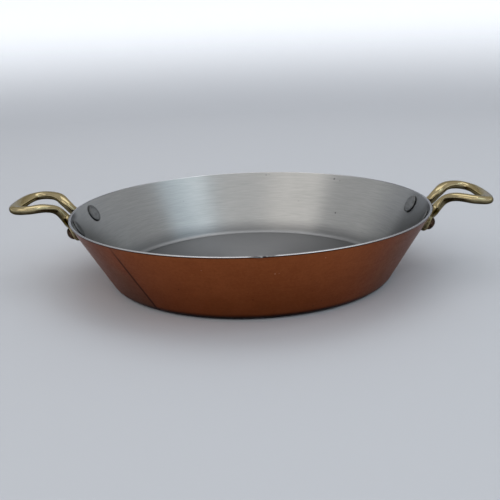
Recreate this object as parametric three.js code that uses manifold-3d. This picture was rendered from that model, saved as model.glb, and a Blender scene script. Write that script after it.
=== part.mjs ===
// Round copper pan, bright-lined, with two cast brass loop handles held by rivets.
// Millimetres, +Z up. The origin is the centre of the underside, and the handles point along +X and -X.

import * as THREE from 'three';
import { mergeVertices } from 'three/addons/utils/BufferGeometryUtils.js';
import Module from 'manifold-3d';

// Pan body
const RIM_RADIUS = 100; // outside of the top edge
const BASE_RADIUS = 78.2; // where the straight wall would meet the underside
const PAN_HEIGHT = 38.1;
const CORNER_RADIUS = 5; // outside, between the underside and the wall
const COPPER_THICKNESS = 0.85;
const LINING_THICKNESS = 0.3;
const BOND_GAP = 0.05; // between the copper and its lining

// Rivets
const RIVET_SPACING = 37; // between the two rivets of one handle
const RIVET_DROP = 8.1; // from the rim down the slope of the wall
const SHANK_RADIUS = 2.5;
const INNER_HEAD_RADIUS = 5.15;
const INNER_HEAD_HEIGHT = 0.8;
const OUTER_HEAD_RADIUS = 3.6;
const OUTER_HEAD_HEIGHT = 2.7;
const HEAD_EDGE_RADIUS = 0.4; // rounding of the inner head's edge
const FIT_CLEARANCE = 0.3; // between a rivet, a handle and what they fasten to

// Handle ears, which lie on the wall
const EAR_RADIUS = 5.3;
const EAR_THICKNESS = 2.6;
const EAR_TRIM = 0.7; // cast on the back of an ear and cut away to follow the wall

// Handle loop: widths are across the bar in plan, thicknesses in side view
const RIM_STANDOFF = 1.4; // from the rim to the bar as it passes
const FOOT_DROP = 3; // of the foot of each arm below the rim
const FOOT_WIDTH = 6.4;
const FOOT_THICKNESS = 4.9;
const NECK_WIDTH = 5.8;
const NECK_THICKNESS = 4.8;
const ARM_WIDTH = 6.2;
const ARM_THICKNESS = 4.5;
const BOW_WIDTH = 6.8;
const BOW_THICKNESS = 4.3;
const NECK_SPAN = 18.4; // between the two arms where they are closest
const LOOP_SPAN = 38.6; // between the two arms where they are furthest apart
const NECK_RUN = 3.2; // from the rim crossing out to the neck
const NECK_RISE = 2; // of the neck above the rim
const SHOULDER_RUN = 5; // from the neck out to the shoulder
const SHOULDER_SPREAD = 4.8; // of each arm from the neck to the shoulder
const ARM_RISE = 4.5; // of the arms above the rim
const HANDLE_REACH = 29.8; // from the rim to the middle of the bow
const BOW_RISE = 3.1; // of the bow above the rim
const BEND_SETBACK = 3.2; // of the bow's two bends from its middle
const BEND_INSET = 2.2; // of the bow's two bends from the widest span
const ARM_SETBACK = 9.8; // of the widest span from the middle of the bow
const FOOT_UPRIGHT = 0.6; // how far the bar has turned from the wall to level, at the foot
const NECK_UPRIGHT = 0.9; // and at the neck
const EAR_SQUARENESS = 4; // 2 is an oval section, and more is flatter
const BAR_SQUARENESS = 2.3;
const BOW_SQUARENESS = 2.7;

// Fineness of the round faces
const PAN_SEGMENTS = 80;
const CORNER_STEPS = 4;
const RIVET_SEGMENTS = 20;
const DOME_STEPS = 4;
const EDGE_STEPS = 2;
const BAR_SIDES = 12;
const EAR_RINGS = 5;
const RINGS_PER_SPAN = 4;
const WELD_DISTANCE = 1e-5;

// The wall leans out from the vertical, and the corner turns through the rest of the right angle.
const WALL_LEAN = Math.atan2(RIM_RADIUS - BASE_RADIUS, PAN_HEIGHT);
const CORNER_TURN = Math.PI / 2 - WALL_LEAN;
const CORNER_CENTRE = BASE_RADIUS - CORNER_RADIUS * Math.tan(CORNER_TURN / 2);
const LINING_DEPTH = COPPER_THICKNESS + BOND_GAP;
const WALL_THICKNESS = LINING_DEPTH + LINING_THICKNESS;
const EAR_FACE = FIT_CLEARANCE + EAR_THICKNESS; // out from the wall

// Rivet axes meet the outside of the wall here, and stand square to it.
const RIVET_RING = RIM_RADIUS - RIVET_DROP * Math.sin(WALL_LEAN);
const RIVET_LEVEL = PAN_HEIGHT - RIVET_DROP * Math.cos(WALL_LEAN);
const RIVET_AZIMUTH = Math.asin(RIVET_SPACING / 2 / RIVET_RING);

const wasm = await Module();
wasm.setup();

const UP = new THREE.Vector3(0, 0, 1);

const finishes = {
  copper: { color: 0xa8623f, roughness: 0.32, metalness: 1 },
  steel: { color: 0xb9bcc2, roughness: 0.28, metalness: 1 },
  brass: { color: 0xb39a5c, roughness: 0.3, metalness: 1 },
  rivet: { color: 0x9a7458, roughness: 0.35, metalness: 1 },
};

// Welds the vertices, drops triangles that collapse on an axis and turns the faces outwards.
function welded(geometry) {
  const bare = geometry.index ? geometry.toNonIndexed() : geometry.clone();
  bare.deleteAttribute('normal');
  bare.deleteAttribute('uv');
  const merged = mergeVertices(bare, WELD_DISTANCE);
  const corners = merged.index.array;
  const kept = [];
  for (let i = 0; i < corners.length; i += 3) {
    const [a, b, c] = corners.slice(i, i + 3);
    if (a !== b && b !== c && c !== a) kept.push(a, b, c);
  }
  const at = (index) => new THREE.Vector3().fromBufferAttribute(merged.attributes.position, index);
  let volume = 0;
  for (let i = 0; i < kept.length; i += 3) {
    volume += at(kept[i]).dot(at(kept[i + 1]).cross(at(kept[i + 2])));
  }
  merged.setIndex(volume < 0 ? kept.reverse() : kept);
  return merged;
}

function toSolid(geometry) {
  const closed = welded(geometry);
  const vertProperties = new Float32Array(closed.attributes.position.array);
  const triVerts = new Uint32Array(closed.index.array);
  return new wasm.Manifold(new wasm.Mesh({ numProp: 3, vertProperties, triVerts }));
}

function toGeometry(solid) {
  const mesh = solid.getMesh();
  const geometry = new THREE.BufferGeometry();
  geometry.setAttribute('position', new THREE.BufferAttribute(new Float32Array(mesh.vertProperties), 3));
  geometry.setIndex(Array.from(mesh.triVerts));
  geometry.computeVertexNormals();
  return geometry;
}

// A solid of revolution about Z from a profile of (radius, height) points.
function turned(profile, segments) {
  return new THREE.LatheGeometry(profile, segments).rotateX(Math.PI / 2);
}

// Points on an arc in the (radius, height) plane, from one angle to another.
function arc(centreRadius, centreHeight, radius, from, to, steps) {
  const points = [];
  for (let i = 0; i <= steps; i += 1) {
    const angle = THREE.MathUtils.lerp(from, to, i / steps);
    const offset = new THREE.Vector2(Math.cos(angle), Math.sin(angle)).multiplyScalar(radius);
    points.push(offset.add(new THREE.Vector2(centreRadius, centreHeight)));
  }
  return points;
}

// Radius of the wall at a height, at a depth in from its outside. A negative depth lies outside it.
function wallRadius(height, depth) {
  return BASE_RADIUS + height * Math.tan(WALL_LEAN) - depth / Math.cos(WALL_LEAN);
}

// Bottom, corner and wall at a depth in from the outside, from the axis up to a height.
function panLine(depth, top) {
  const radius = CORNER_RADIUS - depth;
  const corner = arc(CORNER_CENTRE, CORNER_RADIUS, radius, -Math.PI / 2, -WALL_LEAN, CORNER_STEPS);
  return [new THREE.Vector2(0, depth), ...corner, new THREE.Vector2(wallRadius(top, depth), top)];
}

function copperShell() {
  const top = PAN_HEIGHT - LINING_THICKNESS - BOND_GAP;
  return turned([...panLine(0, top), ...panLine(COPPER_THICKNESS, top).reverse()], PAN_SEGMENTS);
}

// The lining follows the copper inside and is turned out over its top edge as a flat lip.
function lining() {
  const lipUnderside = PAN_HEIGHT - LINING_THICKNESS;
  const lip = [
    new THREE.Vector2(wallRadius(lipUnderside, 0), lipUnderside),
    new THREE.Vector2(RIM_RADIUS, PAN_HEIGHT),
  ];
  const inside = panLine(WALL_THICKNESS, PAN_HEIGHT).reverse();
  return turned([...panLine(LINING_DEPTH, lipUnderside), ...lip, ...inside], PAN_SEGMENTS);
}

// The whole pan as one solid, a clearance larger all over, which shapes the backs of the ears.
function panEnvelope() {
  const top = PAN_HEIGHT + FIT_CLEARANCE;
  const outline = panLine(-FIT_CLEARANCE, top);
  return turned([...outline, new THREE.Vector2(0, top)], PAN_SEGMENTS);
}

// Outward normal of the wall and the point where a rivet's axis meets it.
function rivetSeat(azimuth) {
  const around = new THREE.Vector3(Math.cos(azimuth), Math.sin(azimuth), 0);
  const normal = around.clone().multiplyScalar(Math.cos(WALL_LEAN)).addScaledVector(UP, -Math.sin(WALL_LEAN));
  const point = around.multiplyScalar(RIVET_RING).addScaledVector(UP, RIVET_LEVEL);
  return { normal, point };
}

// A cylinder along a rivet's axis between two distances out from the outside of the wall.
function drill(azimuth, radius, from, to) {
  const { normal, point } = rivetSeat(azimuth);
  const cylinder = new THREE.CylinderGeometry(radius, radius, to - from, RIVET_SEGMENTS);
  cylinder.rotateX(Math.PI / 2).translate(0, 0, (from + to) / 2);
  cylinder.applyQuaternion(new THREE.Quaternion().setFromUnitVectors(UP, normal));
  return toSolid(cylinder.translate(point.x, point.y, point.z));
}

// A clearance hole for a rivet's shank, through the wall and the ear.
function rivetHole(azimuth) {
  const past = WALL_THICKNESS + EAR_FACE;
  return drill(azimuth, SHANK_RADIUS + FIT_CLEARANCE, -past, EAR_FACE + past);
}

// A flat seat for a rivet's outer head on the ear, cut clear of the foot behind it.
function spotFace(azimuth) {
  const past = FOOT_THICKNESS + OUTER_HEAD_HEIGHT;
  return drill(azimuth, OUTER_HEAD_RADIUS + FIT_CLEARANCE, EAR_FACE, EAR_FACE + past);
}

// A rivet about Z, with Z = 0 on the outside of the wall and the domed head outwards.
function rivet() {
  const curvature = RIVET_RING / Math.cos(WALL_LEAN);
  const hollow = curvature - Math.sqrt(curvature ** 2 - INNER_HEAD_RADIUS ** 2);
  const innerSeat = -(WALL_THICKNESS + FIT_CLEARANCE + hollow);
  const innerFace = innerSeat - INNER_HEAD_HEIGHT;
  const outerSeat = EAR_FACE + FIT_CLEARANCE;
  const edgeCentre = INNER_HEAD_RADIUS - HEAD_EDGE_RADIUS;
  const edgeHeight = innerFace + HEAD_EDGE_RADIUS;
  const edge = arc(edgeCentre, edgeHeight, HEAD_EDGE_RADIUS, -Math.PI / 2, 0, EDGE_STEPS);
  const dome = arc(0, 0, 1, 0, Math.PI / 2, DOME_STEPS).map(
    (point) => new THREE.Vector2(OUTER_HEAD_RADIUS * point.x, outerSeat + OUTER_HEAD_HEIGHT * point.y),
  );
  dome[DOME_STEPS].x = 0;
  const profile = [
    new THREE.Vector2(0, innerFace),
    ...edge,
    new THREE.Vector2(INNER_HEAD_RADIUS, innerSeat),
    new THREE.Vector2(SHANK_RADIUS, innerSeat),
    new THREE.Vector2(SHANK_RADIUS, outerSeat),
    ...dome,
  ];
  return turned(profile, RIVET_SEGMENTS);
}

// One ring of a bar: a rounded rectangle, rounder for a squareness of 2 and flatter above it.
function barRing(centre, tangent, top, section) {
  const across = new THREE.Vector3().crossVectors(tangent, top).normalize();
  const through = new THREE.Vector3().crossVectors(across, tangent).normalize();
  const ring = [];
  for (let i = 0; i < BAR_SIDES; i += 1) {
    const angle = (2 * Math.PI * i) / BAR_SIDES;
    const round = (value) => Math.sign(value) * Math.abs(value) ** (2 / section.squareness);
    const point = centre.clone();
    point.addScaledVector(across, (section.width / 2) * round(Math.cos(angle)));
    point.addScaledVector(through, (section.thickness / 2) * round(Math.sin(angle)));
    ring.push(point);
  }
  return ring;
}

// Skins a row of rings and closes both ends.
function skinned(rings) {
  const sides = rings[0].length;
  const points = rings.flat();
  const index = [];
  for (let row = 0; row < rings.length - 1; row += 1) {
    for (let i = 0; i < sides; i += 1) {
      const a = row * sides + i;
      const b = row * sides + ((i + 1) % sides);
      index.push(a, b, a + sides, b, b + sides, a + sides);
    }
  }
  const last = (rings.length - 1) * sides;
  for (let i = 1; i < sides - 1; i += 1) {
    index.push(0, i + 1, i, last, last + i, last + i + 1);
  }
  const geometry = new THREE.BufferGeometry().setFromPoints(points);
  geometry.setIndex(index);
  return geometry;
}

// Stations of one arm of the handle at +X, from the end of its ear to the bend of the bow.
// Each has its place, the direction that its top faces and its section.
function armStations() {
  const { normal, point } = rivetSeat(RIVET_AZIMUTH);
  const inward = normal.clone().negate();
  const earDepth = EAR_THICKNESS + EAR_TRIM;
  const earMiddle = EAR_FACE - earDepth / 2;
  const seat = point.clone().addScaledVector(normal, earMiddle);

  const neckSide = NECK_SPAN / 2;
  const crossing = Math.sqrt(RIM_RADIUS ** 2 - neckSide ** 2) + RIM_STANDOFF + FOOT_THICKNESS / 2;
  const footReach = crossing - FOOT_DROP * Math.tan(WALL_LEAN);
  const foot = new THREE.Vector3(footReach, neckSide, PAN_HEIGHT - FOOT_DROP);
  const neck = new THREE.Vector3(crossing + NECK_RUN, neckSide, PAN_HEIGHT + NECK_RISE);
  const armLevel = PAN_HEIGHT + ARM_RISE;
  const shoulder = new THREE.Vector3(neck.x + SHOULDER_RUN, neckSide + SHOULDER_SPREAD, armLevel);
  const bow = RIM_RADIUS + HANDLE_REACH;
  const arm = new THREE.Vector3(bow - ARM_SETBACK, LOOP_SPAN / 2, armLevel);
  const bend = new THREE.Vector3(
    bow - BEND_SETBACK, LOOP_SPAN / 2 - BEND_INSET, PAN_HEIGHT + (ARM_RISE + BOW_RISE) / 2,
  );

  const slope = foot.clone().sub(seat);
  const down = slope.addScaledVector(normal, -slope.dot(normal)).normalize().negate();
  const earEnd = seat.clone().addScaledVector(down, EAR_RADIUS);

  const bar = (width, thickness) => ({ width, thickness, squareness: BAR_SQUARENESS });
  const ear = { width: 2 * EAR_RADIUS, thickness: earDepth, squareness: EAR_SQUARENESS };
  const leaning = (share) => inward.clone().lerp(UP, share).normalize();
  return [
    { place: earEnd, top: inward, section: ear },
    { place: seat, top: inward, section: ear },
    { place: foot, top: leaning(FOOT_UPRIGHT), section: bar(FOOT_WIDTH, FOOT_THICKNESS) },
    { place: neck, top: leaning(NECK_UPRIGHT), section: bar(NECK_WIDTH, NECK_THICKNESS) },
    { place: shoulder, top: UP, section: bar(ARM_WIDTH, ARM_THICKNESS) },
    { place: arm, top: UP, section: bar(ARM_WIDTH, ARM_THICKNESS) },
    { place: bend, top: UP, section: bar((ARM_WIDTH + BOW_WIDTH) / 2, (ARM_THICKNESS + BOW_THICKNESS) / 2) },
  ];
}

function mirrored(station) {
  const flip = (vector) => new THREE.Vector3(vector.x, -vector.y, vector.z);
  return { place: flip(station.place), top: flip(station.top), section: station.section };
}

function between(first, second, share) {
  const ease = THREE.MathUtils.smoothstep(share, 0, 1);
  const mix = (key) => THREE.MathUtils.lerp(first.section[key], second.section[key], ease);
  return {
    top: first.top.clone().lerp(second.top, ease).normalize(),
    section: { width: mix('width'), thickness: mix('thickness'), squareness: mix('squareness') },
  };
}

// The loop from one ear to the other as one cast bar. The ears' ends are round about the rivets.
function handleBlank() {
  const arm = armStations();
  const bow = {
    place: new THREE.Vector3(RIM_RADIUS + HANDLE_REACH, 0, PAN_HEIGHT + BOW_RISE),
    top: UP,
    section: { width: BOW_WIDTH, thickness: BOW_THICKNESS, squareness: BOW_SQUARENESS },
  };
  const stations = [...arm, bow, ...arm.map(mirrored).reverse()];
  const spans = stations.length - 1;
  const path = new THREE.CatmullRomCurve3(stations.map((station) => station.place), false, 'centripetal');

  const ringAt = (span, share, widthShare) => {
    const along = (span + share) / spans;
    const { top, section } = between(stations[span], stations[span + 1], share);
    return barRing(path.getPoint(along), path.getTangent(along), top, {
      ...section, width: section.width * widthShare,
    });
  };
  const earRings = (span, shareOf) => {
    const rings = [];
    for (let i = 1; i <= EAR_RINGS; i += 1) {
      const angle = (Math.PI / 2) * (i / (EAR_RINGS + 1));
      rings.push(ringAt(span, shareOf(1 - Math.cos(angle)), Math.sin(angle)));
    }
    return rings;
  };

  const rings = earRings(0, (share) => share);
  for (let span = 1; span < spans - 1; span += 1) {
    for (let i = 0; i < RINGS_PER_SPAN; i += 1) {
      rings.push(ringAt(span, i / RINGS_PER_SPAN, 1));
    }
  }
  rings.push(ringAt(spans - 1, 0, 1));
  rings.push(...earRings(spans - 1, (share) => 1 - share).reverse());
  return skinned(rings);
}

function piece(name, geometry, finish) {
  const mesh = new THREE.Mesh(geometry, new THREE.MeshStandardMaterial(finish));
  mesh.name = name;
  return mesh;
}

const pan = new THREE.Group();

const pair = [-RIVET_AZIMUTH, RIVET_AZIMUTH];
const allRivets = [...pair, ...pair.map((azimuth) => azimuth + Math.PI)];
const cut = (solid, tools) => tools.reduce((rest, tool) => rest.subtract(tool), solid);
const holes = allRivets.map(rivetHole);

pan.add(piece('copper_shell', toGeometry(cut(toSolid(copperShell()), holes)), finishes.copper));
pan.add(piece('steel_lining', toGeometry(cut(toSolid(lining()), holes)), finishes.steel));

const handleCuts = [toSolid(panEnvelope()), ...pair.map(rivetHole), ...pair.map(spotFace)];
const handleShape = toGeometry(cut(toSolid(handleBlank()), handleCuts));
const rivetShape = toGeometry(toSolid(rivet()));

// Each side holds a handle and its two rivets. The left side is the right one turned half round.
const sides = [
  { side: 'right', turn: 0, rows: ['front', 'rear'] },
  { side: 'left', turn: Math.PI, rows: ['rear', 'front'] },
];
for (const { side, turn, rows } of sides) {
  const mounted = new THREE.Group();
  mounted.rotation.z = turn;
  mounted.add(piece(`${side}_handle`, handleShape, finishes.brass));
  rows.forEach((row, index) => {
    const { normal, point } = rivetSeat(pair[index]);
    const fastener = piece(`${side}_${row}_rivet`, rivetShape, finishes.rivet);
    fastener.position.copy(point);
    fastener.quaternion.setFromUnitVectors(UP, normal);
    mounted.add(fastener);
  });
  pan.add(mounted);
}

export default pan;
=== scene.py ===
"""Dresses a round copper pan that has a brushed bright lining and two riveted brass loop handles.

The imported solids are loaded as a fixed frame, in metres with +Z up, and a finer surface takes the place
of each. Sizes are written in millimetres, as a maker gives them, and points go into meshes in metres.
Azimuths are degrees about +Z: 0 is the right handle, -90 the front and 180 the left handle.
"""

import logging
from dataclasses import dataclass, field
from enum import Enum
from typing import Any, Iterable

import bpy
import numpy as np
from mathutils import Matrix, Vector

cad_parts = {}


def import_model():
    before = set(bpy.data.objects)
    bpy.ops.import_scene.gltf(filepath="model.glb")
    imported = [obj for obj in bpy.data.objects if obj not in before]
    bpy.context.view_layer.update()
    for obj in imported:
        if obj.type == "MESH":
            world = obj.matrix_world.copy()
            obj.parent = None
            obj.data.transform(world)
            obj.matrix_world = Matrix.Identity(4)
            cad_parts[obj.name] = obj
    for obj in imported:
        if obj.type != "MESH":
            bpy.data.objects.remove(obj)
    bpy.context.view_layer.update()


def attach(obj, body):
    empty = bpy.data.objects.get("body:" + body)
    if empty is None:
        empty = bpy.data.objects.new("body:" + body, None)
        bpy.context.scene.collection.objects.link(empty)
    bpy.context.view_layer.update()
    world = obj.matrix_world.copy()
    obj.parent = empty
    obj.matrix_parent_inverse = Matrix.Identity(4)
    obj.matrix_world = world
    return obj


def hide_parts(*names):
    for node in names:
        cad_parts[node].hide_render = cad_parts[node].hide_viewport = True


Array = np.ndarray
Colour = tuple[float, float, float, float]
# Where a mask is 0 and where it is 1, or how far from a corner its easing starts and ends
Span = tuple[float, float]

MM = 0.001
# These keep divisions off zero, the first in metres and the second in millimetres
OFF_AXIS = 1e-5
TINY = 1e-9
BURNT_BROWN = 0x351609
# A dark grey for painted shade, and for dirt round the rivets' heads
DARK_SHADE_GREY = 0x2C2D30
LOG = logging.getLogger("copper_pan")


class Slot(Enum):
    """The record's material slots."""

    COPPER = "copper"
    LINING = "lining"
    BRASS = "cast_brass"
    RIVET = "rivet_metal"


class Side(Enum):
    """The two ends of the pan that carry a handle, with the half turns from +X to each."""

    RIGHT = 0
    LEFT = 1


class Row(Enum):
    """The two rivets of a handle, with the sign of Y where each sits."""

    FRONT = -1
    REAR = 1


def tone(code: int) -> Colour:
    """Turns a display colour into the linear values that shader sockets take.

    Args:
        code: Red, green and blue as 0xRRGGBB.

    Returns:
        Linear red, green and blue, with an alpha of 1.
    """
    shown = np.array([code >> 16 & 255, code >> 8 & 255, code & 255]) / 255
    linear = np.where(shown <= 0.04045, shown / 12.92, ((shown + 0.055) / 1.055) ** 2.4)
    return (*linear.tolist(), 1.0)


def smooth(values: Array, low: float, high: float) -> Array:
    """Eases from 0 at low to 1 at high: three times the share squared, less twice its cube.

    Args:
        values: Any array.
        low: Where the result is 0.
        high: Where the result is 1.

    Returns:
        The eased share, of the same shape.
    """
    share = np.clip((values - low) / (high - low), 0.0, 1.0)
    return share * share * (3.0 - 2.0 * share)


def unit(vectors: Array) -> Array:
    """Scales vectors on the last axis to length 1."""
    return vectors / np.linalg.norm(vectors, axis=-1, keepdims=True)


@dataclass(frozen=True)
class Grain:
    """A cloudy noise: its features to a unit of length, and how much and how rough its fine detail is."""

    scale: float
    detail: float = 2.0
    roughness: float = 0.5


@dataclass(frozen=True)
class Overlay:
    """A tone that lies over a finish, as 0xRRGGBB, and its share where its mask is full."""

    code: int
    share: float = 1.0


class Signal:
    """An output socket in a material. Arithmetic on it adds Math nodes."""

    def __init__(self, graph: "Graph", socket: bpy.types.NodeSocket | None) -> None:
        """Keeps the socket and the graph that it is in."""
        self.graph = graph
        self.socket = socket

    def __add__(self, other: "Value") -> "Signal":
        """Gives the sum."""
        return self.graph.maths("ADD", self, other)

    def __sub__(self, other: "Value") -> "Signal":
        """Gives the difference."""
        return self.graph.maths("SUBTRACT", self, other)

    def __rsub__(self, other: "Value") -> "Signal":
        """Gives the difference from a number."""
        return self.graph.maths("SUBTRACT", other, self)

    def __mul__(self, other: "Value") -> "Signal":
        """Gives the product."""
        return self.graph.maths("MULTIPLY", self, other)

    def __truediv__(self, other: "Value") -> "Signal":
        """Gives the quotient."""
        return self.graph.maths("DIVIDE", self, other)

    def __rtruediv__(self, other: "Value") -> "Signal":
        """Gives a number divided by this."""
        return self.graph.maths("DIVIDE", other, self)

    def __pow__(self, other: "Value") -> "Signal":
        """Gives the power."""
        return self.graph.maths("POWER", self, other)

    __radd__ = __add__
    __rmul__ = __mul__

    def __abs__(self) -> "Signal":
        """Gives the size without its sign."""
        return self.graph.maths("ABSOLUTE", self)

    def step(self, low: float, high: float) -> "Signal":
        """Eases from 0 at low to 1 at high, which may be the lesser of the two."""
        limits = {"Value": self, "From Min": low, "From Max": high}
        return self.graph.node("ShaderNodeMapRange", {"interpolation_type": "SMOOTHSTEP"}, limits)

    def step_mm(self, span: Span) -> "Signal":
        """Eases a length from 0 at the span's first value to 1 at its second, both in millimetres."""
        return self.step(span[0] * MM, span[1] * MM)

    def axes(self) -> tuple["Signal", "Signal", "Signal"]:
        """Splits a vector into its three parts."""
        split = self.graph.node("ShaderNodeSeparateXYZ", {}, {"Vector": self}).socket.node
        return tuple(Signal(self.graph, output) for output in split.outputs)


Value = Signal | float


def weighted(signals: Iterable[Signal], weights: Iterable[float]) -> Signal:
    """The sum of signals, each times its weight."""
    return sum(signal * weight for signal, weight in zip(signals, weights))


class Graph:
    """A material and its nodes. The Mix node's sockets for colours go by number, as names repeat there."""

    MIX_SOCKETS = (0, 6, 7)
    MIX_OUTPUT = 2

    def __init__(self, name: str) -> None:
        """Starts an empty material.

        Args:
            name: The material's name.
        """
        self.material = bpy.data.materials.new(name)
        self.material.use_nodes = True
        self.tree = self.material.node_tree
        self.tree.nodes.clear()

    def node(
        self, kind: str, settings: dict[str, Any], sockets: dict[Any, Any], output: int | str = 0
    ) -> Signal:
        """Adds any node, sets it up and then fills its sockets.

        Args:
            kind: The node's type, such as ShaderNodeMath.
            settings: The node's own settings by name.
            sockets: Values or signals by the socket's name or number.
            output: The number or name of the output that is wanted.

        Returns:
            That output, which holds no socket where the node has none.
        """
        made = self.tree.nodes.new(kind)
        for name, setting in settings.items():
            setattr(made, name, setting)
        for name, value in sockets.items():
            if isinstance(value, Signal):
                self.tree.links.new(value.socket, made.inputs[name])
            else:
                made.inputs[name].default_value = value
        return Signal(self, made.outputs[output] if made.outputs else None)

    def maths(self, operation: str, *values: Value) -> Signal:
        """Adds a Math node on the given values."""
        return self.node("ShaderNodeMath", {"operation": operation}, dict(enumerate(values)))

    def place(self) -> Signal:
        """Gives the point on the object, in metres."""
        return self.node("ShaderNodeTexCoord", {}, {}, output="Object")

    def vector(self, x: Value, y: Value, z: Value) -> Signal:
        """Joins three values into a vector."""
        return self.node("ShaderNodeCombineXYZ", {}, {"X": x, "Y": y, "Z": z})

    def spot(self, place: Signal, point: Array, core: float, reach: float) -> Signal:
        """Gives a round mask about a fixed point.

        Args:
            place: The point on the object.
            point: The middle, in metres.
            core: Distance in millimetres within which the mask is 1.
            reach: Distance in millimetres beyond which it is 0.

        Returns:
            The mask.
        """
        ends = {0: place, 1: tuple(point)}
        far = self.node("ShaderNodeVectorMath", {"operation": "DISTANCE"}, ends, output="Value")
        return 1.0 - far.step_mm((core, reach))

    def noise(self, vector: Signal, grain: Grain) -> Signal:
        """Gives a cloudy noise about 0.5."""
        sizes = {"Scale": grain.scale, "Detail": grain.detail, "Roughness": grain.roughness}
        return self.node("ShaderNodeTexNoise", {}, {"Vector": vector, **sizes})

    def cells(self, vector: Signal, scale: float) -> Signal:
        """Gives the distance to the nearest of many scattered points, in cells."""
        return self.node("ShaderNodeTexVoronoi", {}, {"Vector": vector, "Scale": scale})

    def attribute(self, name: str) -> Signal:
        """Gives a value that the mesh holds at its points."""
        return self.node("ShaderNodeAttribute", {"attribute_name": name}, {}, output="Fac")

    def mix(self, share: Value, first: Signal | Colour, second: Signal | Colour) -> Signal:
        """Mixes two colours."""
        sockets = dict(zip(self.MIX_SOCKETS, (share, first, second)))
        return self.node("ShaderNodeMix", {"data_type": "RGBA"}, sockets, output=self.MIX_OUTPUT)

    def stain(self, colour: Signal, mask: Signal, stain: Overlay) -> Signal:
        """Lays a tone over a colour where the mask is, for stains and for painted light and shade."""
        return self.mix(mask * stain.share, colour, tone(stain.code))

    def bump(self, height: Signal, depth: float) -> Signal:
        """Turns a height of 0 to 1 into a normal, for a relief of that depth in metres."""
        return self.node("ShaderNodeBump", {}, {"Strength": 1.0, "Distance": depth, "Height": height})

    def surface(self, sockets: dict[str, Any]) -> bpy.types.Material:
        """Ends the material in a Principled shader.

        Args:
            sockets: Values or signals by the names of the shader's sockets.

        Returns:
            The finished material.
        """
        shader = self.node("ShaderNodeBsdfPrincipled", {}, sockets)
        self.node("ShaderNodeOutputMaterial", {}, {"Surface": shader})
        return self.material


@dataclass(frozen=True)
class PanForm:
    """The pan's body: a flat bottom, a round corner and a straight flared wall, lined inside."""

    rim_radius: float = 100.0
    base_radius: float = 78.2
    height: float = 38.1
    corner_radius: float = 5.0
    copper: float = 0.85
    bond: float = 0.05
    lining: float = 0.3

    @property
    def lean(self) -> float:
        """Angle of the wall from upright."""
        return float(np.arctan2(self.rim_radius - self.base_radius, self.height))

    @property
    def corner_centre(self) -> float:
        """Radius at which the bottom meets the corner."""
        return self.base_radius - self.corner_radius * float(np.tan((np.pi / 2 - self.lean) / 2))

    @property
    def wall(self) -> float:
        """Thickness of copper, bond and lining together."""
        return self.copper + self.bond + self.lining

    def wall_radius(self, height: float, depth: float) -> float:
        """Radius of the wall at a height, at a depth in from its outside."""
        return self.base_radius + height * float(np.tan(self.lean)) - depth / float(np.cos(self.lean))

    def line(self, depth: float, top: float, rows: tuple[int, int, int]) -> Array:
        """The pan's section at a depth in from its outside, from near the axis up to a height.

        The bottom is level, the corner is an arc about a centre that all depths share, and the wall is
        straight.

        Args:
            depth: Distance in from the outside.
            top: Height at which the line ends.
            rows: Numbers of points on the bottom, the corner and the wall.

        Returns:
            Rows of radius and height.
        """
        bottom_radii = np.linspace(0.0, self.corner_centre, rows[0] + 1)[1:-1]
        bottom = np.stack([bottom_radii, np.full_like(bottom_radii, depth)], axis=-1)
        angles = np.linspace(-np.pi / 2, -self.lean, rows[1])
        around = np.stack([np.cos(angles), np.sin(angles)], axis=-1)
        corner = around * (self.corner_radius - depth) + [self.corner_centre, self.corner_radius]
        end = np.array([self.wall_radius(top, depth), top])
        wall = corner[-1] + np.linspace(0.0, 1.0, rows[2] + 1)[1:, None] * (end - corner[-1])
        return np.concatenate([bottom, corner, wall])

    def point(self, azimuth: float, height: float, depth: float) -> Array:
        """A point on the wall.

        Args:
            azimuth: Angle about Z in degrees.
            height: Height above the bottom in millimetres.
            depth: Distance in from the outside in millimetres.

        Returns:
            The point in metres.
        """
        angle = np.radians(azimuth)
        radius = self.wall_radius(height, depth)
        return MM * np.array([radius * np.cos(angle), radius * np.sin(angle), height])


@dataclass(frozen=True)
class Dent:
    """A shallow round dent in the wall: its place, its spread along the wall and its depth inwards."""

    azimuth: float
    height: float
    spread: float
    depth: float


@dataclass(frozen=True)
class Knock:
    """A knock in the rim's nick: its place along the rim, its spread and its share of the depth."""

    along: float
    spread: float
    share: float


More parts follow.
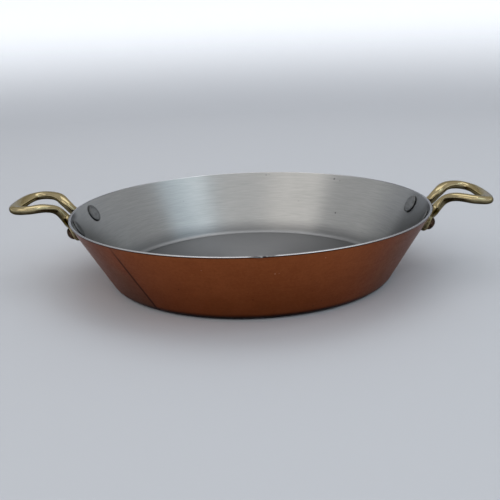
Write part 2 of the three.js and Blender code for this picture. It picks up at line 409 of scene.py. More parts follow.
@dataclass(frozen=True)
class UseMarks:
    """How use has bent the pan: a wavering wall, a few dents, a domed bottom and a nick in the rim."""

    waver: tuple[tuple[int, float, float], ...] = (
        (2, 0.16, 0.4),
        (3, 0.10, 1.9),
        (5, 0.05, 0.7),
        (9, 0.025, 2.6),
    )
    dents: tuple[Dent, ...] = (
        Dent(-118.0, 21.0, 9.0, 0.10),
        Dent(-71.0, 14.0, 7.0, 0.08),
        Dent(-34.0, 25.0, 8.0, 0.10),
        Dent(41.0, 18.0, 8.0, 0.09),
        Dent(97.0, 23.0, 10.0, 0.12),
        Dent(152.0, 16.0, 7.0, 0.08),
    )
    dome: float = 0.25
    nick_azimuth: float = -85.4
    nick_depth: float = 0.55
    nick_reach: float = 1.7
    knocks: tuple[Knock, ...] = (
        Knock(-3.0, 1.2, 0.6),
        Knock(-1.5, 0.6, 0.8),
        Knock(0.7, 0.9, 1.0),
        Knock(2.7, 0.6, 0.5),
        Knock(4.6, 0.6, 0.4),
    )

    def bend(self, points: Array, pan: PanForm) -> Array:
        """Moves points of the pan as use has moved them, the same way for the copper and its lining.

        Waves round the pan and round dents move the wall in and out, more towards the rim. The bottom rises
        as 1 less the square of the share of its radius. The nick lowers the outer edge of the rim.

        Args:
            points: Points in millimetres, with x, y and z on the last axis.
            pan: The pan's sizes.

        Returns:
            The moved points.
        """
        radius = np.hypot(points[..., 0], points[..., 1])
        angle = np.arctan2(points[..., 1], points[..., 0])
        height = points[..., 2]

        outwards = np.zeros_like(radius)
        for count, size, phase in self.waver:
            outwards += size * np.sin(count * angle + phase)
        outwards *= smooth(height, pan.corner_radius, pan.height)
        for dent in self.dents:
            turn = np.angle(np.exp(1j * (angle - np.radians(dent.azimuth))))
            far = np.hypot(turn * radius, (height - dent.height) / np.cos(pan.lean))
            dip = dent.depth * np.exp(-((far / dent.spread) ** 2))
            outwards -= dip * smooth(height, 0.0, pan.corner_radius)
        share = (radius + outwards) / np.maximum(radius, MM)

        within = np.clip(radius / pan.corner_centre, 0.0, 1.0)
        low = 1.0 - smooth(height, pan.corner_radius, 2 * pan.corner_radius)
        lift = self.dome * (1.0 - within**2) * low

        along = np.angle(np.exp(1j * (angle - np.radians(self.nick_azimuth)))) * pan.rim_radius
        profile = sum(
            knock.share * np.exp(-(((along - knock.along) / knock.spread) ** 2)) for knock in self.knocks
        )
        lip = pan.wall_radius(pan.height, pan.wall)
        near_rim = smooth(height, pan.height - self.nick_reach, pan.height)
        edge = near_rim * smooth(radius, lip, pan.rim_radius)
        sunk = self.nick_depth * profile * edge
        return np.stack([points[..., 0] * share, points[..., 1] * share, height + lift - sunk], axis=-1)


def ring_numbers(count: int, around: int) -> tuple[Array, Array]:
    """Numbers the points of some rings, and gives beside each number that of the next point round."""
    index = np.arange(count * around).reshape(count, around)
    return index, np.roll(index, -1, axis=1)


@dataclass
class Skin:
    """A closed surface: points in millimetres, four-sided faces and the triangles that close its ends."""

    points: Array
    quads: Array
    ends: Array

    @classmethod
    def closed(cls, rings: Array) -> "Skin":
        """Skins a row of closed rings and shuts the first and last ring with a fan about its middle.

        Args:
            rings: Points as rings, places round a ring, and x, y, z.

        Returns:
            The surface, with its faces pointing out.
        """
        count, around = rings.shape[:2]
        index, after = ring_numbers(count, around)
        quads = np.stack([index[:-1], after[:-1], after[1:], index[1:]], axis=-1).reshape(-1, 4)
        first = np.stack([after[0], index[0], np.full(around, count * around)], axis=-1)
        last = np.stack([index[-1], after[-1], np.full(around, count * around + 1)], axis=-1)
        middles = rings[[0, -1]].mean(axis=1)
        skin = cls(np.concatenate([rings.reshape(-1, 3), middles]), quads, np.concatenate([first, last]))
        if skin.volume() < 0.0:
            skin.quads = skin.quads[:, ::-1]
            skin.ends = skin.ends[:, ::-1]
        return skin

    def volume(self) -> float:
        """The volume inside: a sixth of the sum, over triangles, of the triple product of their corners.

        Returns:
            The volume in cubic millimetres, below zero where the faces point in.
        """
        halves = np.concatenate([self.quads[:, [0, 1, 2]], self.quads[:, [0, 2, 3]], self.ends])
        a, b, c = (self.points[halves[:, corner]] for corner in range(3))
        return float(np.einsum("ij,ij->", a, np.cross(b, c)) / 6.0)

    def put(self, name: str, values: dict[str, Array] | None = None) -> bpy.types.Object:
        """Makes an object of the surface, at the origin and smoothly shaded.

        Args:
            name: The object's name.
            values: Values at the rings' points, by attribute name. The two ends take those of their ring.

        Returns:
            The new object.
        """
        mesh = bpy.data.meshes.new(name)
        corners = np.concatenate([self.quads.ravel(), self.ends.ravel()]).astype(np.int32)
        sizes = np.concatenate([np.full(len(self.quads), 4), np.full(len(self.ends), 3)])
        starts = (np.cumsum(sizes) - sizes).astype(np.int32)
        mesh.vertices.add(len(self.points))
        mesh.vertices.foreach_set("co", (self.points * MM).astype(np.float32).ravel())
        mesh.loops.add(len(corners))
        mesh.loops.foreach_set("vertex_index", corners)
        mesh.polygons.add(len(sizes))
        mesh.polygons.foreach_set("loop_start", starts)
        mesh.polygons.foreach_set("use_smooth", np.ones(len(sizes), dtype=bool))
        for key, value in (values or {}).items():
            layer = mesh.attributes.new(key, "FLOAT", "POINT")
            full = np.concatenate([value.ravel(), [value[0].mean(), value[-1].mean()]])
            layer.data.foreach_set("value", full.astype(np.float32))
        mesh.update(calc_edges=True)
        mesh.validate()
        made = bpy.data.objects.new(name, mesh)
        bpy.context.scene.collection.objects.link(made)
        return made


def revolved(profile: Array, segments: int) -> Array:
    """Turns a profile about Z: radius times the cosine and sine of each angle, at the profile's height.

    Args:
        profile: Rows of radius and height.
        segments: Number of angles round the turn.

    Returns:
        Points as rows, angles and x, y, z.
    """
    angles = np.linspace(0.0, 2 * np.pi, segments, endpoint=False)
    radius, height = profile[:, :1], profile[:, 1:]
    return np.stack(np.broadcast_arrays(radius * np.cos(angles), radius * np.sin(angles), height), axis=-1)


def eased_corner(before: Array, corner: Array, after: Array, sizes: Span, steps: int) -> Array:
    """Rounds a corner of a profile with a curve that leaves one side and meets the next.

    The curve is a quadratic through the two points at the given distances from the corner, which pulls it.

    Args:
        before: A point on the side that comes first.
        corner: The sharp corner.
        after: A point on the side that follows.
        sizes: How far from the corner the curve starts and how far from it the curve ends.
        steps: Number of steps along it.

    Returns:
        Rows of radius and height.
    """
    share = np.linspace(0.0, 1.0, steps + 1)[:, None]
    start = corner + unit(before - corner) * sizes[0]
    end = corner + unit(after - corner) * sizes[1]
    return start * (1 - share) ** 2 + 2 * corner * share * (1 - share) + end * share**2


def dress(piece: bpy.types.Object, finish: bpy.types.Material, node: str, slot: Slot) -> None:
    """Gives a piece its finish, lets it ride on the pan and take the place of its solid.

    Args:
        piece: The finished mesh object.
        finish: Its material.
        node: The solid's node.
        slot: The record's material slot, which is only logged.
    """
    piece.data.materials.append(finish)
    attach(piece, "root")
    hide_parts(node)
    LOG.info("%s: %d faces, slot %s", piece.name, len(piece.data.polygons), slot.value)


@dataclass(frozen=True)
class Reach:
    """A mask towards a handle: where it rises, by the cosine from the right handle, and its full share."""

    span: Span
    share: float = 1.0


class PanPoint:
    """A point on the pan as signals in metres, for finishes that go by where it lies."""

    def __init__(self, graph: Graph, pan: PanForm) -> None:
        """Reads the point and works out how it lies to the axis, the rim and the bottom's edge.

        Args:
            graph: The material that reads it.
            pan: The pan's sizes.
        """
        self.graph = graph
        self.place = graph.place()
        self.x, self.y, self.z = self.place.axes()
        self.radius = (self.x * self.x + self.y * self.y) ** 0.5 + OFF_AXIS
        self.turned = self.x / self.radius
        self.over_rim = self.z - pan.height * MM
        self.past_corner = self.radius - pan.corner_centre * MM

    def wound(self, turns: float, pitched: Signal) -> Signal:
        """A place for noise that runs slowly round the pan and fast along another signal."""
        return self.graph.vector(self.turned * turns, self.y / self.radius * turns, pitched)

    def towards(self, reach: Reach) -> Signal:
        """A mask towards one handle."""
        return self.turned.step(*reach.span) * reach.share

    def at_ends(self, reach: Reach) -> Signal:
        """A mask towards both handles."""
        return abs(self.turned).step(*reach.span) * reach.share


@dataclass(frozen=True)
class Hairline:
    """A fine dark line down the wall, nearly straight, scratched into it and also painted as the edge of a
    reflection, with a painted grey reflection beside it, in millimetres.

    The core is the share of the half width that is full. Near the rim only a faint share of it is left.
    """

    azimuth: float = -128.5
    foot_along: float = 5.0
    top_along: float = -2.8
    half_width: float = 0.9
    core: float = 0.5
    wander: float = 0.5
    faint: float = 0.45
    faint_heights: Span = (36.0, 29.0)
    facing: Span = (0.0, 10.0)
    grey_reflection_edge: Span = (0.0, -0.8)
    grey_reflection_end: Span = (-34.0, -10.2)
    grey_reflection_heights: Span = (28.0, 18.0)

    def masks(self, at: PanPoint, pan: PanForm, unrest: Signal) -> tuple[Signal, Signal]:
        """The scratched line that edges a painted reflection, and the painted grey reflection to one side
        of it.

        The distance from the scratched line is measured round the pan, from a line that leans with the
        height.

        Args:
            at: The point on the pan.
            pan: The pan's sizes.
            unrest: A noise about 0.5, by which the scratched line wanders.

        Returns:
            The masks of the scratched line and of the painted grey reflection.
        """
        angle = np.radians(self.azimuth)
        cosine, sine = float(np.cos(angle)), float(np.sin(angle))
        facing = (at.x * cosine + at.y * sine).step_mm(self.facing)
        slope = (self.top_along - self.foot_along) / pan.height
        along = at.y * cosine - at.x * sine - (self.foot_along * MM + at.z * slope)
        along = along + (unrest - 0.5) * (self.wander * MM)
        near = 1.0 - abs(along).step_mm((self.core * self.half_width, self.half_width))
        clear = self.faint + at.z.step_mm(self.faint_heights) * (1.0 - self.faint)
        beside = along.step_mm(self.grey_reflection_edge) * along.step_mm(self.grey_reflection_end)
        grey_reflection = beside * at.z.step_mm(self.grey_reflection_heights)
        return near * clear * facing, grey_reflection * facing


@dataclass(frozen=True)
class Fleck:
    """A small round mark on the wall: its azimuth, height and radius."""

    azimuth: float
    height: float
    radius: float

    def mask(self, at: PanPoint, pan: PanForm, depth: float, core: float) -> Signal:
        """Gives 1 within a share of the mark's radius, at a depth in from the outside, and 0 beyond it."""
        middle = pan.point(self.azimuth, self.height, depth)
        return at.graph.spot(at.place, middle, core * self.radius, self.radius)


@dataclass(frozen=True)
class Pits:
    """Small round pits that lie in loose fields."""

    scale: float
    size: Span
    fields: Grain
    field_span: Span

    def mask(self, g: Graph, place: Signal) -> Signal:
        """Gives 1 in the pits."""
        fields = g.noise(place, self.fields).step(*self.field_span)
        return (1.0 - g.cells(place, self.scale).step(*self.size)) * fields


@dataclass(frozen=True)
class CopperFinish:
    """Satin copper that has browned unevenly, with spin marks, pits, pale flecks and one long hairline, and
    with painted shade and painted reflections over it.

    Heights and widths are in millimetres. Weights are in the order in which build lists the signals.
    """

    pan: PanForm
    fresh: int = 0xA65C31
    browned: int = 0x934E27
    edge: int = 0xD4CFD2
    cloud: Grain = Grain(34.0, 5.0, 0.62)
    blotch: Grain = Grain(210.0, 4.0, 0.6)
    speckle: Grain = Grain(760.0, 3.0, 0.65)
    grain: Grain = Grain(2300.0)
    spin: Grain = Grain(1.0, 3.0, 0.6)
    spin_turns: float = 3.0
    spin_pitch: float = 1500.0
    age_weights: tuple[float, ...] = (0.35, 0.2, 0.3, 0.15)
    age_span: Span = (0.36, 0.64)
    # Painted shade: a darker brown towards the bottom, uneven with the clouds and less towards the right
    # handle
    low_shade: Overlay = Overlay(0x743811)
    low_shade_even: float = 0.38
    low_shade_cloudy: float = 0.5
    towards_bottom_heights: Span = (26.0, -2.0)
    low_shade_spared: Reach = Reach((0.0, 0.7), 0.7)
    seam: Overlay = Overlay(BURNT_BROWN, 0.85)
    seam_width: float = 0.7
    seam_core: float = 0.6
    hairline: Hairline = Hairline()
    # A dark scratched line that also stands for the edge of a painted reflection
    scratch_and_reflection_edge: Overlay = Overlay(BURNT_BROWN, 0.9)
    # Painted reflection: darker within the grey reflection beside the hairline, more towards the bottom
    dark_reflection: Overlay = Overlay(BURNT_BROWN)
    dark_reflection_even: float = 0.08
    dark_reflection_low: float = 0.3
    # Painted reflection: a greyer tone beside the hairline and towards both handles
    grey_reflection: Overlay = Overlay(0x7A5E48)
    grey_reflection_share: float = 0.25
    # Painted reflection: greyer towards both handles, where the wall shows the floor at a grazing angle
    grey_reflection_ends: tuple[Reach, ...] = (Reach((-0.62, -0.9), 0.2), Reach((0.55, 0.95), 0.42))
    shade: Overlay = Overlay(BURNT_BROWN)
    shade_ends: Reach = Reach((0.4, 0.85), 0.26)
    shade_heights: Span = (12.0, 34.0)
    # Painted contact shadow: near-black at the bottom corner, less towards the handles
    contact_shade: Overlay = Overlay(0x1A0B05, 0.95)
    contact_shade_heights: Span = (4.2, 1.5)
    contact_shade_spared: Reach = Reach((0.4, 0.9), 0.4)
    pit: Overlay = Overlay(BURNT_BROWN, 0.6)
    pits: Pits = Pits(210.0, (0.05, 0.12), Grain(70.0), (0.52, 0.66))
    fleck: Overlay = Overlay(0xD39A78, 0.75)
    fleck_core: float = 0.4
    flecks: tuple[Fleck, ...] = (
        Fleck(-82.0, 27.8, 0.5),
        Fleck(-80.9, 27.9, 0.3),
        Fleck(-68.4, 33.9, 0.45),
        Fleck(-67.6, 33.2, 0.25),
        Fleck(-102.0, 30.5, 0.3),
    )
    rough: float = 0.26
    rough_weights: tuple[float, ...] = (0.1, 0.1, 0.08)
    relief: float = 0.03
    relief_weights: tuple[float, ...] = (0.25, 0.35, 0.2, 0.2, -0.8, -0.5)
    coat: float = 0.12
    coat_rough: float = 0.25

    def build(self) -> bpy.types.Material:
        """Makes the material.

        Clouds of brown and the lines of the spinning lie over the fresh tone. Painted shade darkens it to
        the bottom corner, which ends in a painted contact shadow. Painted grey reflections lie towards the
        handles and beside the hairline, and painted shade lies towards the handles high on the wall. The
        hairline, the pits and the flecks are masks by distance.

        Returns:
            The material.
        """
        g = Graph("satin_copper")
        at = PanPoint(g, self.pan)
        cloud, blotch, speckle, grain = (
            g.noise(at.place, kind) for kind in (self.cloud, self.blotch, self.speckle, self.grain)
        )
        spin = g.noise(at.wound(self.spin_turns, at.z * self.spin_pitch), self.spin)
        age = weighted([cloud, blotch, speckle, spin], self.age_weights).step(*self.age_span)
        towards_bottom = at.z.step_mm(self.towards_bottom_heights)
        hair, grey_reflection = self.hairline.masks(at, self.pan, blotch)
        pits = self.pits.mask(g, at.place)

        colour = g.mix(age, tone(self.fresh), tone(self.browned))
        # Painted shade that darkens the copper towards the bottom
        low_shaded = towards_bottom * (self.low_shade_even + cloud * self.low_shade_cloudy)
        colour = g.stain(colour, low_shaded * (1.0 - at.towards(self.low_shade_spared)), self.low_shade)
        seam = tuple(-self.pan.lining - share * self.seam_width for share in (1.0, self.seam_core))
        colour = g.stain(colour, at.over_rim.step_mm(seam), self.seam)
        # Painted reflection beside the hairline, darker and then greyer, and greyer towards both handles
        colour = g.stain(colour, grey_reflection * (self.dark_reflection_even + towards_bottom * self.dark_reflection_low), self.dark_reflection)
        greyed = grey_reflection * self.grey_reflection_share + sum(at.towards(end) for end in self.grey_reflection_ends)
        colour = g.stain(colour, greyed, self.grey_reflection)
        shaded = at.at_ends(self.shade_ends) * at.z.step_mm(self.shade_heights)
        colour = g.stain(colour, shaded, self.shade)
        # Painted contact shadow at the bottom corner
        contact_shaded = at.z.step_mm(self.contact_shade_heights) * (1.0 - at.at_ends(self.contact_shade_spared))
        colour = g.stain(colour, contact_shaded, self.contact_shade)
        colour = g.stain(colour, pits, self.pit)
        colour = g.stain(colour, hair, self.scratch_and_reflection_edge)
        flecks = sum(fleck.mask(at, self.pan, 0.0, self.fleck_core) for fleck in self.flecks)
        colour = g.stain(colour, flecks, self.fleck)

        relief = weighted([grain, spin, blotch, speckle, hair, pits], self.relief_weights)
        return g.surface({
            "Base Color": colour,
            "Metallic": 1.0,
            "Roughness": self.rough + weighted([age, speckle, towards_bottom], self.rough_weights),
            "Specular Tint": tone(self.edge),
            "Normal": g.bump(relief, self.relief * MM),
            "Coat Weight": (1.0 - hair) * self.coat,
            "Coat Roughness": self.coat_rough,
        })


@dataclass(frozen=True)
class LiningFinish:
    """Bright metal brushed round the pan, with stains and dark specks, and with painted shade and a painted
    highlight: a darker floor, wall foot and ends, a pale line at the corner, and shade under the rim's
    ends, round the rivets' heads and in the nick of the rim.

    Lengths are in millimetres, up from the rim for its own marks, and out from the bottom's edge for the
    floor and the painted highlight at the corner. A knock's reach is in shares of its spread.
    """

    pan: PanForm
    marks: UseMarks
    rivets: "RivetForm"
    bright: int = 0xB5B5B4
    dull: int = 0xA4A5A4
    edge: int = 0xCBCBCB
    stroke: Grain = Grain(1.0, 2.0, 0.55)
    stroke_courses: tuple[tuple[float, float], ...] = ((9.0, 3600.0), (6.0, 1100.0), (3.0, 260.0))
    stroke_weights: tuple[float, ...] = (0.6, 0.3, 0.1)
    stroke_span: Span = (0.34, 0.66)
    cloud: Grain = Grain(26.0, 4.0, 0.6)
    # Real stains in clouds on the lining
    stain: Overlay = Overlay(0x939390, 0.35)
    stain_span: Span = (0.5, 0.8)
    # Stains and painted dark reflection on the floor
    floor_stain_and_shade: Overlay = Overlay(0x7F8083)
    floor_stain_and_shade_even: float = 0.7
    floor_edge: Span = (0.5, -3.0)
    # Painted shade: the wall darker towards its foot
    low_wall_shade: Overlay = Overlay(0x4A4C50, 0.66)
    low_wall_shade_heights: Span = (11.0, 1.0)
    # Painted shade: the wall darker towards both handles
    end_shade: Overlay = Overlay(0x686C70)
    end_shade_reach: tuple[Reach, ...] = (Reach((0.8, 0.97), 0.44), Reach((-0.35, -0.8), 0.36))
    # Painted shade near the right rivets, where the handle's shadow falls
    between: Overlay = Overlay(0x4A4C50)
    between_rivets: Reach = Reach((0.955, 0.992), 0.4)
    # Painted highlight: a pale line along the round corner
    corner_highlight: Overlay = Overlay(0xCDCED1, 0.18)
    corner_highlight_inner: Span = (0.1, 0.9)
    corner_highlight_outer: Span = (3.5, 2.4)
    # Painted shade under the lip at both ends, on the front side
    under_lip_shade: Overlay = Overlay(DARK_SHADE_GREY)
    under_lip_shade_ends: Reach = Reach((0.84, 0.97), 0.75)
    under_lip_shade_heights: Span = (-3.6, -1.0)
    under_lip_shade_front: Span = (0.0, -11.0)
    # The polished lip, with painted shade that darkens it towards both ends
    polished: int = 0xCDCED1
    shaded_lip: int = 0x95979C
    lip_shade_ends: Reach = Reach((0.45, 0.95))
    lip_heights: Span = (-0.3, -0.1)
    # Painted shade in the nick, where the dented edge is shadowed
    nick_shade: Overlay = Overlay(0x808082)
    nick_shade_reach: Span = (4.0, 7.8)
    sunken_heights: Span = (-1.6, -1.0)
    knock_shade: Overlay = Overlay(DARK_SHADE_GREY)
    knock_drop: float = 0.4
    knock_reach: Span = (0.5, 1.5)
    # Dirt and a painted shadow round each rivet's head, most on its front side
    grime_and_shade: Overlay = Overlay(DARK_SHADE_GREY, 0.82)
    head_shade_width: float = 0.7
    speck: Overlay = Overlay(0x4C4E52, 0.75)
    speck_core: float = 0.3
    specks: tuple[Fleck, ...] = (
        Fleck(56.1, 35.4, 0.9),
        Fleck(53.4, 34.6, 0.5),
        Fleck(51.3, 15.6, 0.8),
        Fleck(84.8, 36.3, 0.6),
        Fleck(83.6, 36.6, 0.35),
        Fleck(121.0, 24.0, 0.35),
        Fleck(70.0, 20.5, 0.35),
    )
    rough: float = 0.3
    rough_weights: tuple[float, ...] = (0.1, 0.06, -0.12)
    relief: float = 0.005
    stretch: float = 0.8
    stretch_turn: float = 0.25

    def shaded_floor_and_ends(self, at: PanPoint, colour: Signal, cloud: Signal) -> Signal:
        """Darkens the floor with stains and painted dark reflection, paints shade on the wall's foot, on
        its ends and near the right rivets, and paints a highlight as a pale line along the round corner.

        Args:
            at: The point on the pan.
            colour: The colour so far.
            cloud: A noise about 0.5 for the floor.

        Returns:
            The new colour.
        """
        g = at.graph
        floor = at.past_corner.step_mm(self.floor_edge)
        wall = 1.0 - floor
        floor_stain_and_shade = self.floor_stain_and_shade_even + cloud * (1.0 - self.floor_stain_and_shade_even)
        # The floor darker, with stains and painted dark reflection
        colour = g.stain(colour, floor * floor_stain_and_shade, self.floor_stain_and_shade)
        # Painted shade on the wall's foot
        colour = g.stain(colour, at.z.step_mm(self.low_wall_shade_heights) * wall, self.low_wall_shade)
        # Painted shade towards both handles and near the right rivets
        colour = g.stain(colour, sum(at.towards(end) for end in self.end_shade_reach) * wall, self.end_shade)
        colour = g.stain(colour, at.towards(self.between_rivets) * wall, self.between)
        # Painted highlight along the round corner
        corner_highlight = at.past_corner.step_mm(self.corner_highlight_inner) * at.past_corner.step_mm(self.corner_highlight_outer)
        return g.stain(colour, corner_highlight, self.corner_highlight)

    def shaded_rim(self, at: PanPoint, colour: Signal, lip: Signal) -> Signal:
        """Paints shade on the wall under the rim's ends, brightens the lip with painted shade towards its
        ends, and paints shade in the nick.

        Args:
            at: The point on the pan.
            colour: The colour so far.
            lip: The mask of the lip.

        Returns:
            The new colour.
        """
        g = at.graph
        # Painted shade under the lip at the ends, and a lip that is darker towards its ends
        under_lip_shade = at.over_rim.step_mm(self.under_lip_shade_heights) * at.y.step_mm(self.under_lip_shade_front)
        colour = g.stain(colour, under_lip_shade * at.at_ends(self.under_lip_shade_ends), self.under_lip_shade)
        rubbed_and_lit = g.mix(at.at_ends(self.lip_shade_ends), tone(self.polished), tone(self.shaded_lip))
        colour = g.mix(lip, colour, rubbed_and_lit)
        # Painted shade in the nick and at its knocks
        sunken = at.over_rim.step_mm(self.sunken_heights)
        nick = self.pan.point(self.marks.nick_azimuth, self.pan.height, 0.0)
        colour = g.stain(colour, g.spot(at.place, nick, *self.nick_shade_reach) * sunken, self.nick_shade)
        for knock in self.marks.knocks:
            azimuth = self.marks.nick_azimuth + float(np.degrees(knock.along / self.pan.rim_radius))
            point = self.pan.point(azimuth, self.pan.height - self.knock_drop, 0.0)
            hit = g.spot(at.place, point, *(share * knock.spread for share in self.knock_reach))
            colour = g.stain(colour, hit * sunken * knock.share, self.knock_shade)
        return colour

    def shaded_heads_and_specks(self, at: PanPoint, colour: Signal) -> Signal:
        """Lays dirt and a painted shadow round the rivets' heads, and specks on the wall.

        Args:
            at: The point on the pan.
            colour: The colour so far.

        Returns:
            The new colour.
        """
        g = at.graph
        rings = []
        for azimuth in self.rivets.azimuths():
            seat, axes = self.rivets.seat(azimuth)
            middle = (seat - axes[2] * self.pan.wall) * MM
            edge = self.rivets.inner_radius
            ring = g.spot(at.place, middle, edge, edge + self.head_shade_width)
            held = self.rivets.grime_and_shade(azimuth) * self.rivets.front(float(seat[1]) * MM - at.y)
            rings.append(ring * held)
        colour = g.stain(colour, sum(rings), self.grime_and_shade)
        specks = sum(speck.mask(at, self.pan, self.pan.wall, self.speck_core) for speck in self.specks)
        return g.stain(colour, specks, self.speck)

    def build(self) -> bpy.types.Material:
        """Makes the material.

        Brush lines are noise that runs slowly round the pan and fast along its section, fine to coarse.

        Returns:
            The material.
        """
        g = Graph("brushed_lining")
        at = PanPoint(g, self.pan)
        across = at.radius + at.z
        courses = [at.wound(turns, across * pitch) for turns, pitch in self.stroke_courses]
        brush = weighted([g.noise(course, self.stroke) for course in courses], self.stroke_weights)
        cloud = g.noise(at.place, self.cloud)
        lip = at.over_rim.step_mm(self.lip_heights)

        colour = g.mix(brush.step(*self.stroke_span), tone(self.dull), tone(self.bright))
        colour = g.stain(colour, cloud.step(*self.stain_span), self.stain)
        colour = self.shaded_floor_and_ends(at, colour, cloud)
        colour = self.shaded_rim(at, colour, lip)
        colour = self.shaded_heads_and_specks(at, colour)
        return g.surface({
            "Base Color": colour,
            "Metallic": 1.0,
            "Roughness": self.rough + weighted([brush, cloud, lip], self.rough_weights),
            "Specular Tint": tone(self.edge),
            "Normal": g.bump(brush, self.relief * MM),
            "Anisotropic": self.stretch,
            "Anisotropic Rotation": self.stretch_turn,
        })


@dataclass(frozen=True)
class BrassFinish:
    """Polished cast brass: bright where hands wear it and on top where painted light falls, browner
    underneath with painted shade, and browner in its casting pits.
    """

    # A bright tone where the brass is worn and painted lit, and a dark one for tarnish and painted shade
    # underneath
    rubbed_and_lit: int = 0xB4A682
    aged_and_shaded: int = 0x443C27
    edge: int = 0xA2A09C
    cloud: Grain = Grain(120.0, 4.0, 0.6)
    grain: Grain = Grain(1500.0, 3.0, 0.6)
    filed: Grain = Grain(1.0)
    file_pitch: tuple[float, float] = (1.3, 1.5)
    shine_weights: tuple[float, ...] = (0.75, 0.4, 0.1)
    shine_span: Span = (0.35, 0.95)
    recess: Overlay = Overlay(0x2A2211, 0.8)
    pits: Pits = Pits(620.0, (0.07, 0.2), Grain(240.0), (0.5, 0.66))
    rough: float = 0.12
    rough_weights: tuple[float, ...] = (-0.03, 0.05, 0.2)
    relief: float = 0.02
    relief_weights: tuple[float, ...] = (0.4, 0.6, 0.1, -0.8)

    def build(self) -> bpy.types.Material:
        """Makes the material, which reads from the mesh how worn and painted lit a point is and how far
        along it lies.

        File marks are noise that runs fast along the bar and slowly round it.

        Returns:
            The material.
        """
        g = Graph("cast_brass")
        place = g.place()
        rubbed_and_lit = g.attribute("rubbed_and_lit")
        cloud = g.noise(place, self.cloud)
        grain = g.noise(place, self.grain)
        along_pitch, round_pitch = self.file_pitch
        course = g.vector(g.attribute("along") * along_pitch, rubbed_and_lit * round_pitch, 0.0)
        filed = g.noise(course, self.filed)
        pits = self.pits.mask(g, place)
        shine = weighted([rubbed_and_lit, cloud, filed], self.shine_weights).step(*self.shine_span)
        colour = g.mix(shine, tone(self.aged_and_shaded), tone(self.rubbed_and_lit))
        return g.surface({
            "Base Color": g.stain(colour, pits, self.recess),
            "Metallic": 1.0,
            "Roughness": self.rough + weighted([shine, grain, pits], self.rough_weights),
            "Specular Tint": tone(self.edge),
            "Normal": g.bump(weighted([cloud, filed, grain, pits], self.relief_weights), self.relief * MM),
        })


@dataclass(frozen=True)
class RivetFinish:
    """Rivet metal: dull bronze on the head outside and brushed bright with the lining inside, with dirt and
    painted shade on the inner head's edge.
    """

    bronze: int = 0x604C3D
    browned: int = 0x1C1510
    bright: int = 0x787979
    dull: int = 0x5D5F60
    edge: int = 0xC4C4C4
    # Dirt and painted shade on the inner head's sloping edge
    grime_and_shade: Overlay = Overlay(0x2C2D2E, 0.72)
    cloud: Grain = Grain(420.0, 4.0, 0.6)
    grain: Grain = Grain(2600.0)
    browned_span: Span = (0.35, 0.65)
    dull_span: Span = (0.4, 0.75)
    rough: float = 0.14
    rough_weights: tuple[float, ...] = (0.1, 0.2)
    relief: float = 0.04
    relief_weights: tuple[float, ...] = (0.7, 0.3)

    def build(self) -> bpy.types.Material:
        """Makes the material, which reads from the mesh which points face the inside of the pan, and how
        much dirt and painted shade lies on them.

        Returns:
            The material.
        """
        g = Graph("rivet_metal")
        place = g.place()
        inside = g.attribute("inside")
        cloud = g.noise(place, self.cloud)
        grain = g.noise(place, self.grain)
        outer = g.mix(cloud.step(*self.browned_span), tone(self.bronze), tone(self.browned))
        inner = g.mix(cloud.step(*self.dull_span), tone(self.bright), tone(self.dull))
        inner = g.stain(inner, g.attribute("grime_and_shade_share"), self.grime_and_shade)
        return g.surface({
            "Base Color": g.mix(inside, outer, inner),
            "Metallic": 1.0,
            "Roughness": self.rough + weighted([cloud, inside], self.rough_weights),
            "Specular Tint": tone(self.edge),
            "Normal": g.bump(weighted([cloud, grain], self.relief_weights), self.relief * MM),
        })


@dataclass
class PanBody:
    """The copper shell and its lining."""

    form: PanForm
    marks: UseMarks
    rivets: "RivetForm"
    segments: int = 384
    bottom_rows: int = 40
    corner_rows: int = 14
    wall_rows: int = 44
    edge_round: Span = (0.14, 0.14)
    lip_low_round: Span = (0.08, 0.08)
    lip_rim_round: Span = (0.25, 1.05)
    lip_inner_round: Span = (0.25, 0.25)
    edge_steps: int = 6

    @property
    def rows(self) -> tuple[int, int, int]:
        """Numbers of points on the bottom, the corner and the wall."""
        return self.bottom_rows, self.corner_rows, self.wall_rows

    def shell(self) -> Skin:
        """The copper: the outside line up, its top edge with both corners eased, and the inside line down.

        Returns:
            The bent surface.
        """
        form = self.form
        top = form.height - form.lining - form.bond
        outside = form.line(0.0, top, self.rows)
        inside = form.line(form.copper, top, self.rows)[::-1]
        outer_edge = eased_corner(outside[-2], outside[-1], inside[0], self.edge_round, self.edge_steps)
        inner_edge = eased_corner(outside[-1], inside[0], inside[1], self.edge_round, self.edge_steps)
        profile = np.concatenate([outside[:-1], outer_edge, inner_edge, inside[1:]])
        return Skin.closed(self.marks.bend(revolved(profile, self.segments), form))

    def lining(self) -> Skin:
        """The lining: up inside the copper, over its top edge as a flat lip with eased edges, and down.

        Returns:
            The bent surface.
        """
        form = self.form
        under = form.height - form.lining
        back = form.line(form.copper + form.bond, under, self.rows)
        face = form.line(form.wall, form.height, self.rows)[::-1]
        low = np.array([form.wall_radius(under, 0.0), under])
        rim = np.array([form.rim_radius, form.height])
        low_edge = eased_corner(back[-1], low, rim, self.lip_low_round, self.edge_steps)
        rim_edge = eased_corner(low, rim, face[0], self.lip_rim_round, self.edge_steps)
        inner_edge = eased_corner(rim, face[0], face[1], self.lip_inner_round, self.edge_steps)
        profile = np.concatenate([back, low_edge, rim_edge, inner_edge, face[1:]])
        return Skin.closed(self.marks.bend(revolved(profile, self.segments), form))

    def build(self) -> None:
        """Makes and dresses both pieces."""
        shell = self.shell().put("pan_copper_shell")
        dress(shell, CopperFinish(self.form).build(), "copper_shell", Slot.COPPER)
        lining = self.lining().put("pan_bright_lining")
        dress(lining, LiningFinish(self.form, self.marks, self.rivets).build(), "steel_lining", Slot.LINING)


